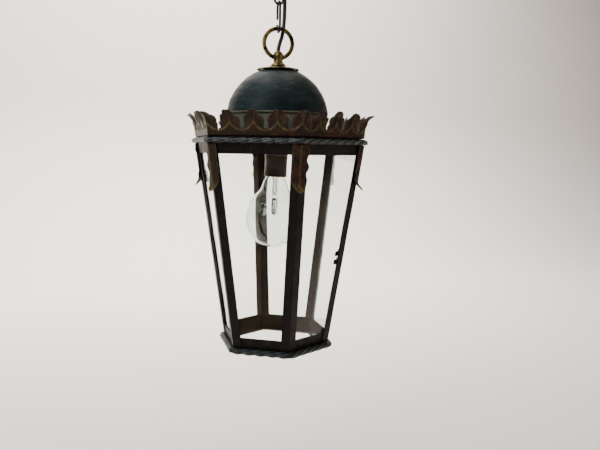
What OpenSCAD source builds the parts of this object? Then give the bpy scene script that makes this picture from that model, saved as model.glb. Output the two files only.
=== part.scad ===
// Six-sided hanging lantern with a domed top, hung from a ceiling hook.
// Origin: centre of the ceiling face. +Z up. A corner of the frame points to -Y.
// Lantern heights are measured from the top edge of the frame; hung() lowers them.

/* [Hanging] */
// Height of the ceiling above the frame's top edge
hang_h = 290; // [285:1:320]
// Height of the ring's centre above the frame's top edge
ring_z = 158.9; // [158:0.1:160]
// Radius of the ring, to the middle of its wire
ring_r = 23.5; // [22.5:0.1:24]
// Radius of the ring's wire
ring_wire = 3.4; // [2.8:0.1:3.5]
// Radius of the wire of the chain and of the hook link
link_wire = 1.9; // [1.5:0.1:2]
// Height of the middle of the hook link's top bar
hook_top_z = 225; // [222:0.5:226]
// Half width of the hook link, to the middle of its wire
hook_half = 8.5; // [7:0.5:9]
// Half width of the chain link, to the middle of its wire
link_half = 6.8; // [6:0.1:7.2]
// Distance between the middles of the chain link's two end bars
link_pitch = 25.6; // [24:0.2:27]
// Radius of the ceiling hook's wire
stem_wire = 2.5; // [2:0.1:2.6]
// Radius of the ceiling hook's bowl, to the middle of its wire
bowl_r = 8; // [7:0.5:9]
// Space left where two wires cross
wire_gap = 0.3; // [0.2:0.05:0.5]

/* [Ceiling cup] */
// Radius of the ceiling cup
cup_r = 36; // [32:1:42]
// Depth of the ceiling cup
cup_h = 24; // [22:1:28]
// Distance between the two ceiling screws
screw_gap = 48; // [44:1:56]
// Radius of the screw holes
screw_r = 2.2; // [2:0.1:2.6]

/* [Frame] */
// Corner radius of the frame at its top edge
frame_r = 145; // [135:1:150]
// Corner radius of the frame at its bottom edge
foot_r = 91; // [85:1:100]
// Height of the frame
frame_h = 342; // [320:1:360]
// Width of each leg of a post
leg_w = 14; // [12:0.5:16]
// Thickness of the posts and rails
sheet_t = 1.5; // [1.2:0.1:1.8]
// Height of the top rail below the frame's top edge
top_rail_h = 20; // [18:0.5:24]
// Height of the bottom rail
foot_rail_h = 28; // [24:0.5:32]
// Thickness of the glass
glass_t = 2; // [1.8:0.1:2.4]
// Radius of the top rope
top_rope_r = 3.8; // [3:0.1:4]
// Radius of the bottom rope
foot_rope_r = 5; // [4:0.1:5.4]

/* [Top] */
// Radius of the dome
dome_r = 84; // [80:1:86]
// Height of the dome's centre above the frame's top edge
dome_z = 36.5; // [35:0.5:38]
// Height of the dome's rim above the frame's top edge
rim_z = 47; // [42:0.5:50]
// Radius of the drum under the dome
drum_r = 80; // [76:1:81]
// Radius of the brass disc on the dome
disc_r = 34.8; // [30:0.2:36]
// Radius of the ball under the ring
ball_r = 8.3; // [8:0.1:8.6]
// Height of the ball's centre
ball_z = 138.7; // [138:0.1:139]

/* [Leaves] */
// Height of the gallery above the deck
gallery_h = 44; // [42:1:46]
// Leaves along one side of the gallery, counting two half leaves as one
leaves_per_side = 4; // [3:1:5]
// Lean of the gallery's leaves, in degrees
leaf_lean = 31; // [15:1:32]
// Length of the leaves on the posts
drop_leaf_h = 74; // [60:1:78]
// Width of each half of a post's leaf
drop_leaf_w = 14.5; // [13:0.5:16]

/* [Lamp] */
// Tilt of the lampholder and bulb, in degrees
lamp_tilt = 2; // [0:0.5:3]
// Radius of the lampholder
holder_r = 19; // [18.5:0.1:20]
// Height of the lampholder's mouth, below the frame's top edge
mouth_z = -57.5; // [-60:0.5:-55]
// Radius of the globe
globe_r = 47.5; // [46:0.5:48]
// Height of the globe's centre
globe_z = -128.5; // [-131:0.5:-126]

/* [Flex] */
// Radius of the flex
flex_r = 3.2; // [2.6:0.1:3.3]

/* [Hidden] */
$fn = 64;

// Hexagon ratio from corner radius to side distance
side_k = cos(30);
// Space between two pieces that lie on each other
lie_gap = 0.1;
// How much the corner radius grows for each millimetre of height
taper = (frame_r - foot_r) / frame_h;
post_lean = atan(taper);
side_lean = atan(taper * side_k);
// Half the angle between a post's two legs
half_bend = 90 - acos(cos(60) * cos(side_lean) * cos(side_lean) + sin(side_lean) * sin(side_lean)) / 2;
// Depths behind the frame's outer faces, from the outside in
rail_in = sheet_t + lie_gap;
pane_in = rail_in + sheet_t + 2 * lie_gap;
clip_in = pane_in + glass_t + lie_gap;
clip_t = 0.7;
clip_heights = [-11, -196, -326];
clip_h = 9;
clip_leg = 9;
bent_clip_heights = [-182, -196];
bent_clip_h = 8;
bent_clip_leg = 13.5;
bent_corner = 2;

deck_z = top_rope_r + lie_gap;
deck_t = 1.5;
deck_top = deck_z + deck_t;
deck_r = frame_r + 1.5;
top_rope_c = (frame_r * side_k + top_rope_r) / side_k - 0.6;
foot_rope_z = -frame_h + 6;
foot_rope_c = ((frame_r + taper * foot_rope_z) * side_k - rail_in + foot_rope_r + 2 * lie_gap) / side_k;
post_top = -top_rope_r - 0.3;
post_foot = foot_rope_z + foot_rope_r + 0.3;
ledge_w = 6;

gallery_t = 0.8;
gallery_inset = 1;
mitre_gap = 0.9;
base_lean = 5;
fold_y = 19;
band_y = 12;
leaf_pitch = deck_r / leaves_per_side;
rivets_per_side = 2;
rivet_r = 1.2;
rivet_in = 10.5;
hole_gap = 0.05;

tilt_bearing = 166;

shell_t = 1.3;
disc_curve = 141;
disc_top = 121.7;
tube_r = 5;
tube_bore = 3.6;
nut_r = 9.8;
nut_h = 4;

ring_top_z = ring_z + ring_r;
hook_foot_z = ring_top_z - ring_wire - link_wire - wire_gap;
link_foot_z = hook_top_z - 2 * link_wire - wire_gap;
link_top_z = link_foot_z + link_pitch;
bowl_foot_z = link_top_z - link_wire - stem_wire - wire_gap;
bowl_z = bowl_foot_z + bowl_r;
neck_r = 4;
neck_up = sqrt(bowl_r * bowl_r + 2 * bowl_r * neck_r);
neck_turn = asin(neck_up / (bowl_r + neck_r));
boss_h = 10;
bracket_t = 2.5;
flex_in_x = 14;
flex_in_y = 9;
grommet_r = 4.4;

// The flex's route: out of the ball, behind the ring's top bar, up beside the chain, into the cup
flex_route = [
  [0, 0, 147], [1, 1, 153], [4, 3.5, 162], [7, 5.5, 170], [9, 7, 178], [10.5, 7.5, 187], [11.5, 8, 198],
  [12, 8, 212], [12, 8, 226], [12.6, 8.5, 240], [13.5, 8.9, 252], [14, 9, 262], [14, 9, 272], [14, 9, 281]
];
flex_sides = 8;
steps_between = 3;

function corner_r(z) = frame_r + taper * z;

module hung() { translate([0, 0, -hang_h]) children(); }
// The lamp hangs askew, its mouth towards the bearing tilt_bearing
module tilted() {
  hung() rotate([0, 0, tilt_bearing - 180]) rotate([0, lamp_tilt, 0]) children();
}
module at_corner(k) { rotate([0, 0, -90 + 60 * (k - 1)]) children(); }
module at_side(k) { rotate([0, 0, -60 + 60 * (k - 1)]) children(); }

// Local x runs across a side, y up its slope and z outwards; z0 is where y starts
module on_side(k, z0, depth) {
  at_side(k) translate([corner_r(z0) * side_k - depth / cos(side_lean), 0, z0])
    rotate([0, side_lean, 0]) rotate([90, 0, 90]) children();
}

module hex_band(z_low, z_high, depth, t) {
  outer = depth / side_k;
  inner = (depth + t) / side_k;
  h = z_high - z_low;
  translate([0, 0, z_low]) rotate([0, 0, 30]) difference() {
    cylinder(h = h, r1 = corner_r(z_low) - outer, r2 = corner_r(z_high) - outer, $fn = 6);
    translate([0, 0, -0.01])
      cylinder(h = h + 0.02, r1 = corner_r(z_low) - inner, r2 = corner_r(z_high) - inner, $fn = 6);
  }
}

module wire_arc(r, wire, from, turn) {
  rotate([0, 0, from]) rotate_extrude(angle = turn) translate([r, 0]) circle(wire, $fn = 32);
}

// A swelling where two stretches of wire are forged together
module weld(y, z, wire) { translate([0, y, z]) sphere(wire * 1.02, $fn = 32); }

module hex_nut(r, h, bore) {
  difference() {
    cylinder(h = h, r = r, $fn = 6);
    translate([0, 0, -1]) cylinder(h = h + 2, r = bore);
  }
}

// ---- Ceiling fitting, drawn from the ceiling down ----

module ceiling_bracket() {
  bar_w = 16;
  bar_l = screw_gap + bar_w;
  color("#8c8f92") difference() {
    union() {
      translate([-bar_l / 2, -bar_w / 2, -bracket_t]) cube([bar_l, bar_w, bracket_t]);
      translate([0, 0, -boss_h]) cylinder(h = boss_h - 1, r = 6);
    }
    translate([0, 0, -boss_h - 1]) cylinder(h = boss_h, r = stem_wire + hole_gap);
    for (s = [-1, 1])
      translate([s * screw_gap / 2, 0, -bracket_t - 1]) cylinder(h = bracket_t + 2, r = screw_r);
  }
}

module cup_body(r, h, round) {
  rotate_extrude() union() {
    square([r - round, h]);
    translate([0, round]) square([r, h - round]);
    translate([r - round, round]) circle(round);
  }
}

module ceiling_cup() {
  wall = 1.2;
  round = 10;
  color("#3a3128") translate([0, 0, -cup_h]) difference() {
    cup_body(cup_r, cup_h - wire_gap, round);
    translate([0, 0, wall]) cup_body(cup_r - wall, cup_h, round - wall);
    translate([0, 0, -1]) cylinder(h = 4, r = stem_wire + 0.3);
    translate([flex_in_x, flex_in_y, -1]) cylinder(h = 4, r = grommet_r + lie_gap);
  }
}

module ceiling_hook() {
  shank_z = bowl_z + neck_up;
  color("#2c2b2b") hung() {
    translate([0, 0, bowl_z]) rotate([90, 0, 90]) wire_arc(bowl_r, stem_wire, -200, 200 + neck_turn);
    translate([0, neck_r, shank_z]) rotate([90, 0, 90]) wire_arc(neck_r, stem_wire, 180, neck_turn);
    translate([0, 0, shank_z]) cylinder(h = hang_h - shank_z - bracket_t, r = stem_wire, $fn = 32);
    weld(0, shank_z, stem_wire);
    weld(bowl_r * cos(neck_turn), bowl_z + bowl_r * sin(neck_turn), stem_wire);
    weld(bowl_r * cos(160), bowl_z + bowl_r * sin(160), stem_wire);
  }
}

module cup_nut() {
  color("#8f7d3a") translate([0, 0, -cup_h - 3.7]) hex_nut(5.2, 3.5, stem_wire + hole_gap);
}

module terminal_block() {
  block = [16, 12, 10];
  color("#e4ddcc") translate([-16, -16, -10]) difference() {
    cube(block, center = true);
    for (s = [-1, 1]) translate([s * block.x / 4, 0, 0]) rotate([90, 0, 0])
      cylinder(h = block.y + 2, r = 2.2, center = true);
  }
}

module flex_grommet() {
  color("#241f1d") translate([flex_in_x, flex_in_y, -cup_h]) difference() {
    union() {
      translate([0, 0, -1.4]) cylinder(h = 1.3, r = grommet_r + 2);
      translate([0, 0, -0.2]) cylinder(h = 2.6, r = grommet_r);
    }
    translate([0, 0, -3]) cylinder(h = 8, r = flex_r + 0.15);
  }
}

// ---- Chain ----

module chain_link() {
  straight = link_pitch - 2 * link_half;
  color("#2c2b2b") hung() translate([0, 0, link_foot_z + link_half]) rotate([90, 0, 0]) {
    wire_arc(link_half, link_wire, 180, 180);
    translate([0, straight, 0]) wire_arc(link_half, link_wire, 0, 180);
    for (s = [-1, 1])
      translate([s * link_half, 0, 0]) rotate([-90, 0, 0]) cylinder(h = straight, r = link_wire, $fn = 32);
  }
}

// A long open link: closed round the chain at its top, a hook for the ring at its foot
module hook_link() {
  low = hook_foot_z + hook_half;
  high = hook_top_z - hook_half;
  tip_z = 199;
  past = 20;
  color("#2c2b2b") hung() {
    translate([0, 0, low]) rotate([90, 0, 90]) wire_arc(hook_half, link_wire, 180, 180 + past);
    translate([0, 0, high]) rotate([90, 0, 90]) wire_arc(hook_half, link_wire, 0, 180);
    translate([0, -hook_half, low]) cylinder(h = high - low, r = link_wire, $fn = 32);
    translate([0, hook_half, tip_z]) cylinder(h = high - tip_z, r = link_wire, $fn = 32);
    for (y = [-hook_half, hook_half]) weld(y, high, link_wire);
    weld(-hook_half, low, link_wire);
    weld(hook_half, tip_z, link_wire);
    weld(hook_half * cos(past), low + hook_half * sin(past), link_wire);
  }
}

// ---- Lantern top ----

module hanging_loop() {
  foot = disc_top + lie_gap;
  color("#9a8440") hung() difference() {
    union() {
      translate([0, 0, ring_z]) rotate([90, 0, 0]) wire_arc(ring_r, ring_wire, 0, 360);
      translate([0, 0, ball_z]) sphere(ball_r);
      rotate_extrude() polygon([
        [0, foot], [12.8, foot], [13.1, foot + 1.2], [12.4, foot + 2.6], [10, foot + 4.6],
        [8, foot + 6.8], [7.2, foot + 9.2], [7.4, foot + 12], [0, ball_z]
      ]);
    }
    translate([0, 0, foot - 1]) cylinder(h = 9, r = tube_r + hole_gap);
    translate([0, 0, foot]) cylinder(h = 40, r = flex_r + 0.5);
  }
}

module crown_disc() {
  color("#7d6c36") hung() difference() {
    intersection() {
      translate([0, 0, disc_top - disc_curve]) sphere(disc_curve, $fn = 128);
      translate([0, 0, disc_top - 10]) cylinder(h = 12, r = disc_r);
    }
    translate([0, 0, disc_top - 1 - disc_curve]) sphere(disc_curve, $fn = 128);
    translate([0, 0, disc_top - 10]) cylinder(h = 12, r = tube_r + 0.2);
  }
}

module threaded_tube() {
  low = -6;
  high = disc_top + 7;
  color("#b59a4a") hung() translate([0, 0, low]) difference() {
    cylinder(h = high - low, r = tube_r);
    translate([0, 0, -1]) cylinder(h = high - low + 2, r = tube_bore);
  }
}

module tube_nuts() {
  nut_heights = [deck_z - nut_h - 0.2, deck_top + 1.1, dome_z + dome_r - shell_t - nut_h - 1];
  color("#b59a4a") hung() for (z = nut_heights) translate([0, 0, z]) hex_nut(nut_r, nut_h, tube_r + hole_gap);
}

module earth_tag() {
  tag_l = 20;
  tag_w = 6;
  tag_t = 0.8;
  color("#b59a4a") hung() translate([0, 0, deck_top + lie_gap]) difference() {
    union() {
      cylinder(h = tag_t, r = 8.5);
      translate([0, -tag_w / 2, 0]) cube([tag_l, tag_w, tag_t]);
    }
    translate([0, 0, -1]) cylinder(h = 3, r = tube_r + 0.2);
    translate([tag_l - 3.5, 0, -1]) cylinder(h = 3, r = 1.6);
  }
}

module dome() {
  color("#34403e") hung() translate([0, 0, dome_z]) difference() {
    sphere(dome_r, $fn = 128);
    sphere(dome_r - shell_t, $fn = 128);
    translate([0, 0, rim_z - dome_z - 2 * dome_r]) cylinder(h = 2 * dome_r, r = dome_r + 1);
    cylinder(h = 2 * dome_r, r = tube_r + 0.3);
  }
}

module dome_rim() {
  bead = 1.7;
  color("#6b6b5a") hung() translate([0, 0, rim_z - bead - lie_gap])
    wire_arc(drum_r + bead + 2 * lie_gap, bead, 0, 360);
}

module drum() {
  wall = 1.2;
  flange = 5;
  top = rim_z - 2;
  color("#7d7c69") hung() translate([0, 0, deck_top + lie_gap]) difference() {
    union() {
      cylinder(h = top - deck_top - lie_gap, r = drum_r, $fn = 128);
      cylinder(h = 1, r = drum_r + flange, $fn = 128);
    }
    translate([0, 0, -1]) cylinder(h = top, r = drum_r - wall, $fn = 128);
  }
}

function rivet_y(n) = (n - (rivets_per_side + 1) / 2) * 2 * leaf_pitch;

module rivet_places() {
  for (k = [1:6]) at_side(k) for (n = [1:rivets_per_side])
    translate([deck_r * side_k - rivet_in, rivet_y(n), 0]) children();
}

module deck_plate() {
  color("#4a4438") hung() translate([0, 0, deck_z]) difference() {
    rotate([0, 0, 30]) cylinder(h = deck_t, r = deck_r, $fn = 6);
    translate([0, 0, -1]) cylinder(h = deck_t + 2, r = tube_r + 0.3);
    rivet_places() translate([0, 0, -1]) cylinder(h = deck_t + 2, r = rivet_r + hole_gap, $fn = 24);
  }
}

module rivets() {
  flange_top = deck_top + lie_gap + gallery_t;
  head_r = 2.2;
  head_h = 0.9;
  color("#3a2a1e") hung() rivet_places() {
    translate([0, 0, deck_z - head_h]) cylinder(h = head_h - lie_gap, r = head_r, $fn = 24);
    translate([0, 0, deck_z - head_h / 2]) cylinder(h = flange_top - deck_z + head_h, r = rivet_r, $fn = 24);
    translate([0, 0, flange_top + lie_gap]) cylinder(h = head_h, r = head_r, $fn = 24);
  }
}

// ---- Gallery of leaves ----

// One leaf of the gallery about x, its stem made narrower by trim on each side
module leaf_outline(x, trim) {
  slot_half = 3.2;
  stem_half = leaf_pitch / 2 - slot_half - trim;
  shoulder_y = fold_y + 9;
  lobe_r = 5.6;
  lobe_x = leaf_pitch / 2 - 2 * slot_half;
  lobe_y = shoulder_y + 0.5;
  tip_r = 10.5;
  neck_half = 7;
  translate([x, 0]) {
    translate([-stem_half, 0]) square([2 * stem_half, shoulder_y]);
    for (s = [-1, 1]) translate([s * lobe_x, lobe_y]) circle(lobe_r, $fn = 32);
    translate([0, gallery_h - tip_r]) circle(tip_r, $fn = 48);
    translate([-neck_half, fold_y]) square([2 * neck_half, gallery_h - fold_y - tip_r]);
  }
}

// Half width of a strip at height y up its slope: neighbouring strips meet along the mitre
function strip_half(y) = deck_r / 2 - mitre_gap
  + tan(30) * (sin(base_lean) * min(y, fold_y) + sin(leaf_lean) * max(y - fold_y, 0));

module strip_part(y_low, y_high, trim) {
  linear_extrude(gallery_t) translate([0, -y_low]) intersection() {
    union() {
      square([2 * deck_r, 2 * band_y], center = true);
      for (n = [0:leaves_per_side]) leaf_outline((n - leaves_per_side / 2) * leaf_pitch, trim);
    }
    polygon([
      [-strip_half(y_low), y_low], [strip_half(y_low), y_low],
      [strip_half(y_high), y_high], [-strip_half(y_high), y_high]
    ]);
  }
}

module gallery(k) {
  foot_w = 14;
  foot_l = deck_r - 20;
  lap = 0.2;
  color("#4c2b1c") hung() at_side(k) translate([deck_r * side_k - gallery_inset, 0, deck_top + lie_gap]) {
    difference() {
      translate([-foot_w, -foot_l / 2, 0]) cube([foot_w + lap, foot_l, gallery_t]);
      for (n = [1:rivets_per_side])
        translate([gallery_inset - rivet_in, rivet_y(n), -1])
          cylinder(h = 3, r = rivet_r + hole_gap, $fn = 24);
    }
    rotate([0, base_lean, 0]) rotate([90, 0, 90]) strip_part(0, fold_y + lap, 0.1);
    translate([fold_y * sin(base_lean), 0, fold_y * cos(base_lean)])
      rotate([0, leaf_lean, 0]) rotate([90, 0, 90]) strip_part(fold_y, gallery_h + 2, 0);
  }
}

// ---- Glazed frame ----

module top_rail() {
  color("#1e1a19") hung() hex_band(-top_rail_h, deck_z - lie_gap, rail_in, sheet_t);
}

module bottom_rail() {
  color("#1e1a19") hung() {
    hex_band(-frame_h, -frame_h + foot_rail_h, rail_in, sheet_t);
    hex_band(-frame_h, -frame_h + sheet_t, rail_in + lie_gap, ledge_w);
  }
}

// Six straight rods that stop just short of the corners, where balls join them
module rope_ring(z, r, wire) {
  corner_gap = 1;
  translate([0, 0, z]) for (k = [1:6]) {
    at_side(k) translate([r * side_k, 0, 0]) rotate([90, 0, 0])
      cylinder(h = r - 2 * corner_gap, r = wire, center = true, $fn = 32);
    at_corner(k) translate([r, 0, 0]) sphere(wire * 1.04, $fn = 48);
  }
}

module top_rope() { color("#3d4744") hung() rope_ring(0, top_rope_c, top_rope_r); }
module bottom_rope() { color("#26302d") hung() rope_ring(foot_rope_z, foot_rope_c, foot_rope_r); }

module post(k) {
  out = [-cos(half_bend), sin(half_bend)];
  inward = [-sin(half_bend), -cos(half_bend)] * sheet_t;
  length = (post_top - post_foot) / cos(post_lean);
  color("#1e1a19") hung() at_corner(k) intersection() {
    translate([corner_r(post_foot - 2), 0, post_foot - 2]) rotate([0, post_lean, 0])
      linear_extrude(length + 4) polygon([
        [0, 0], out * leg_w, out * leg_w + inward, [-sheet_t / sin(half_bend), 0],
        [out.x * leg_w + inward.x, -out.y * leg_w - inward.y], [out.x * leg_w, -out.y * leg_w]
      ]);
    translate([0, -leg_w, post_foot]) cube([frame_r, 2 * leg_w, post_top - post_foot]);
  }
}

module pane(k) {
  low = -frame_h + sheet_t + 0.3;
  high = deck_z - 0.4;
  slope_h = (high - low) / cos(side_lean);
  half_low = corner_r(low) / 2 - 5;
  half_high = corner_r(high) / 2 - 5;
  outline = [[-half_low, 0], [half_low, 0], [half_high, slope_h], [-half_high, slope_h]];
  color([0.8, 0.88, 0.86, 0.35]) hung() on_side(k, low, pane_in + glass_t)
    linear_extrude(glass_t) polygon(outline);
}

// A folded tab that lies on both panes at a corner, with a stem between them
module glass_clip(z, h, leg) {
  out = [-cos(half_bend), sin(half_bend)];
  back = clip_in / sin(half_bend);
  inward = [-sin(half_bend), -cos(half_bend)] * clip_t;
  translate([corner_r(z), 0, z]) rotate([0, post_lean, 0]) translate([0, 0, -h / 2]) {
    linear_extrude(h) polygon([
      [-back, 0], [-back, 0] + out * leg, [-back, 0] + out * leg + inward,
      [-back - clip_t / sin(half_bend), 0],
      [-back + out.x * leg + inward.x, -out.y * leg - inward.y],
      [-back + out.x * leg, -out.y * leg]
    ]);
    translate([-back - 0.3, -1, 0]) cube([back - rail_in / sin(half_bend) - sheet_t * 1.3, 2, h]);
  }
}

// One corner has two longer clips in place of the middle one
module glass_clips() {
  color("#3b2f2a") hung() for (k = [1:6]) at_corner(k) {
    for (z = [clip_heights[0], clip_heights[2]]) glass_clip(z, clip_h, clip_leg);
    if (k == bent_corner) for (z = bent_clip_heights) glass_clip(z, bent_clip_h, bent_clip_leg);
    else glass_clip(clip_heights[1], clip_h, clip_leg);
  }
}

// One half of a post's leaf, flat, with the post's arris along y
module drop_leaf_half() {
  past = gallery_t * tan(90 - half_bend) - 0.02;
  intersection() {
    union() {
      translate([-past, -drop_leaf_h * 0.78]) square([drop_leaf_w * 0.72 + past, drop_leaf_h * 0.78]);
      for (n = [0:2]) translate([drop_leaf_w * 0.42, -drop_leaf_h * (0.14 + 0.25 * n)])
        circle(drop_leaf_w * 0.58, $fn = 48);
      translate([0, -drop_leaf_h * 0.84]) circle(drop_leaf_w * 0.62, $fn = 48);
    }
    translate([-past, -drop_leaf_h]) square([drop_leaf_w + past, drop_leaf_h]);
  }
}

module drop_leaf(k) {
  hook_l = 9;
  lift = 0.25;
  color("#4a2a1c") hung() at_corner(k)
    translate([corner_r(post_top), 0, post_top]) rotate([0, post_lean, 0]) {
    for (s = [-1, 1])
      translate([lift, 0, 0]) rotate([0, 0, s * (90 - half_bend)]) mirror([0, s < 0 ? 1 : 0, 0])
        rotate([90, 0, 90]) linear_extrude(gallery_t) drop_leaf_half();
    translate([lift + 0.3, -3, -drop_leaf_h + 3]) rotate([0, 50, 0]) cube([hook_l, 6, gallery_t]);
  }
}

// ---- Lamp ----

module holder_cap() {
  wall = 1.2;
  color("#3a3230") tilted() rotate_extrude() polygon([
    [5.5, -1.5], [8, -1.5], [8.4, -6.5], [14, -8.5], [17.6, -12.5], [holder_r, -18], [holder_r, -22],
    [holder_r - wall, -22], [holder_r - wall, -18], [16.8, -13.4], [13.4, -9.8], [5.5, -7.9]
  ]);
}

module holder_sleeve() {
  color("#3a3230") tilted() translate([0, 0, mouth_z + 1.2]) difference() {
    cylinder(h = -22.2 - mouth_z - 1.2, r = holder_r);
    translate([0, 0, -1]) cylinder(h = -mouth_z, r = holder_r - 1);
  }
}

module holder_ring() {
  color("#8a5a3a") tilted() translate([0, 0, mouth_z]) difference() {
    cylinder(h = 1.1, r = holder_r - 0.1);
    translate([0, 0, -1]) cylinder(h = 4, r = 15.6);
  }
}

module holder_core() {
  color("#e6e0d2") tilted() difference() {
    translate([0, 0, -53]) cylinder(h = 35.5, r = holder_r - 1.7);
    translate([0, 0, -54]) cylinder(h = 28, r = 14.9);
    for (s = [-1, 1]) translate([s * 9, 0, -30]) cylinder(h = 20, r = 1.6);
  }
}

module holder_shell() {
  color("#b08d4a") tilted() translate([0, 0, -52.5]) difference() {
    cylinder(h = 26, r = 14.7);
    translate([0, 0, -1]) cylinder(h = 30, r = 13.6);
  }
}

module centre_contact() {
  color("#b08d4a") tilted() translate([-6, -2.5, -27.3]) cube([10, 5, 0.8]);
}

// Outline of the globe's wall, moved inwards by w
function bulb_profile(w) = concat(
  [[12.6 - w, -52], [13.6 - w, -57], [16.6 - w, -61], [19.4 - w, -66], [21.4 - w, -72], [24.6 - w, -79.5]],
  [[31.6 - w, -87.5], [38.4 - w, -95.5]],
  [for (n = [0:15]) let (t = 35 - n * 125 / 15) [(globe_r - w) * cos(t), globe_z + (globe_r - w) * sin(t)]]
);

module bulb_solid(w) {
  mouth = -52 - w;
  rotate_extrude()
    polygon(concat([[0, mouth]], [for (p = bulb_profile(w)) [max(p.x, 0), min(p.y, mouth)]]));
}

module bulb_glass() {
  wall = 1;
  color([0.9, 0.92, 0.9, 0.3]) tilted() difference() {
    bulb_solid(0);
    bulb_solid(wall);
  }
}

module bulb_cap() {
  color("#b39a58") tilted() difference() {
    rotate_extrude() polygon([
      [0, -28.8], [3.6, -28.8], [5, -30.2], [9.5, -32.4], [12.6, -34.4], [13.2, -36], [13.2, -50.5],
      [13.6, -51], [13.6, -51.8], [0, -51.8]
    ]);
    translate([0, 0, -60]) cylinder(h = 25, r = 12);
  }
}

module bulb_stem() {
  wire = 0.5;
  color("#9b9b97") tilted() {
    translate([0, 0, -90]) difference() {
      cylinder(h = 36.5, r = 3.2);
      translate([0, 0, 20]) cylinder(h = 30, r = 2.2);
    }
    for (s = [-1, 1]) translate([s * 1.8, 0, -95]) cylinder(h = 6, r = wire, $fn = 16);
  }
}

module bulb_capsule() {
  color([0.9, 0.92, 0.92, 0.4]) tilted() rotate_extrude() polygon([
    [0, -95.3], [3.4, -95.3], [4.6, -98], [4.6, -114], [3.6, -118], [1.6, -121], [0, -122.4]
  ]);
}

// ---- Flex ----

function spline(a, b, c, d, t) =
  0.5 * (2 * b + (c - a) * t + (2 * a - 5 * b + 4 * c - d) * t * t + (3 * b - a - 3 * c + d) * t * t * t);

function along(route, last) = [
  for (n = [0:last - 1], j = [0:steps_between - 1])
    spline(route[max(n - 1, 0)], route[n], route[n + 1], route[min(n + 2, last)], j / steps_between)
];

function unit(v) = v / norm(v);

// One ring of points about p, square to the direction d
function ring_at(p, d, r) = let (u = unit(cross(d, [0, 1, 0])), v = cross(d, u))
  [for (s = [0:flex_sides - 1]) p + r * (cos(360 * s / flex_sides) * u + sin(360 * s / flex_sides) * v)];

module swept_tube(route, r) {
  path = concat(along(route, len(route) - 1), [route[len(route) - 1]]);
  count = len(path);
  rings = [for (n = [0:count - 1]) let (
    d = n == 0 || n == count - 1 ? [0, 0, 1] : unit(path[n + 1] - path[n - 1])
  ) each ring_at(path[n], d, r)];
  sides = [for (n = [0:count - 2], s = [0:flex_sides - 1]) let (a = n * flex_sides, q = (s + 1) % flex_sides)
    [a + s, a + q, a + q + flex_sides, a + s + flex_sides]];
  ends = [[for (s = [flex_sides - 1:-1:0]) s], [for (s = [0:flex_sides - 1]) (count - 1) * flex_sides + s]];
  polyhedron(points = rings, faces = concat(sides, ends));
}

module flex() { color("#33262a") hung() swept_tube(flex_route, flex_r); }

module flex_tail() {
  low = -12;
  color("#33262a") hung() translate([0, 0, low]) cylinder(h = 146.9 - low, r = flex_r);
}

ceiling_bracket();
ceiling_cup();
ceiling_hook();
cup_nut();
terminal_block();
flex_grommet();
chain_link();
hook_link();
hanging_loop();
crown_disc();
threaded_tube();
tube_nuts();
earth_tag();
dome();
dome_rim();
drum();
deck_plate();
rivets();
gallery(1);  // gallery_1
gallery(2);  // gallery_2
gallery(3);  // gallery_3
gallery(4);  // gallery_4
gallery(5);  // gallery_5
gallery(6);  // gallery_6
top_rail();
bottom_rail();
top_rope();
bottom_rope();
post(1);  // post_1
post(2);  // post_2
post(3);  // post_3
post(4);  // post_4
post(5);  // post_5
post(6);  // post_6
pane(1);  // pane_1
pane(2);  // pane_2
pane(3);  // pane_3
pane(4);  // pane_4
pane(5);  // pane_5
pane(6);  // pane_6
drop_leaf(1);  // leaf_1
drop_leaf(2);  // leaf_2
drop_leaf(3);  // leaf_3
drop_leaf(4);  // leaf_4
drop_leaf(5);  // leaf_5
drop_leaf(6);  // leaf_6
glass_clips();
holder_cap();
holder_sleeve();
holder_ring();
holder_core();
holder_shell();
centre_contact();
bulb_glass();
bulb_cap();
bulb_stem();
bulb_capsule();
flex();
flex_tail();
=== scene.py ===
import math
import random

import bmesh
import bpy
from mathutils import Matrix, Vector, noise


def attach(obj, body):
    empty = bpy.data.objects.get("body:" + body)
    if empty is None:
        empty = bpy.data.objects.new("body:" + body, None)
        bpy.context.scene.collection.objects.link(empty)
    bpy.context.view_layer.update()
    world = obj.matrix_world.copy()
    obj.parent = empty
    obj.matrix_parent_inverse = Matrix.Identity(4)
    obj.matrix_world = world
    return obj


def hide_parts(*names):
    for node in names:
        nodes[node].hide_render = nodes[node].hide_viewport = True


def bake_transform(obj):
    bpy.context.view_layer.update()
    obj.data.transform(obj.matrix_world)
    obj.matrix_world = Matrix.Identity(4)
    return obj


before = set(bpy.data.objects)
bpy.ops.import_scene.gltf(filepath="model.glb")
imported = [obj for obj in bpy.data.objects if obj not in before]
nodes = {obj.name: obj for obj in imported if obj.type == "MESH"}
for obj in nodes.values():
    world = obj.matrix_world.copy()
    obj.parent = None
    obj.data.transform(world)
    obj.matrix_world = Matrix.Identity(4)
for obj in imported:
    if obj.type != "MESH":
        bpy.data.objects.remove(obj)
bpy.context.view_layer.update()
noise.seed_set(11)  # noise_vector would start from the clock otherwise

# Heights on the lantern are in millimetres above the frame's top edge, as in the CAD source.
# toRoom turns them into metres below the ceiling.
hang = 290
toRoom = Matrix.Scale(0.001, 4) @ Matrix.Translation((0, 0, -hang))


# Camera: level with the frame's top, a little to the left of the front corner
view = {
    "lens": 39.04,
    "sensor": 36,
    "nearest": 0.05,  # metres
    "distance": 1.0877,
    "height": -0.30102,
    "azimuth": 14.328,  # from the front corner towards the left
    "turn": 2.121,  # the aim passes this far to the left of the lantern
    "pitch": -6.674,
    "roll": 0.974,
}


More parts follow.
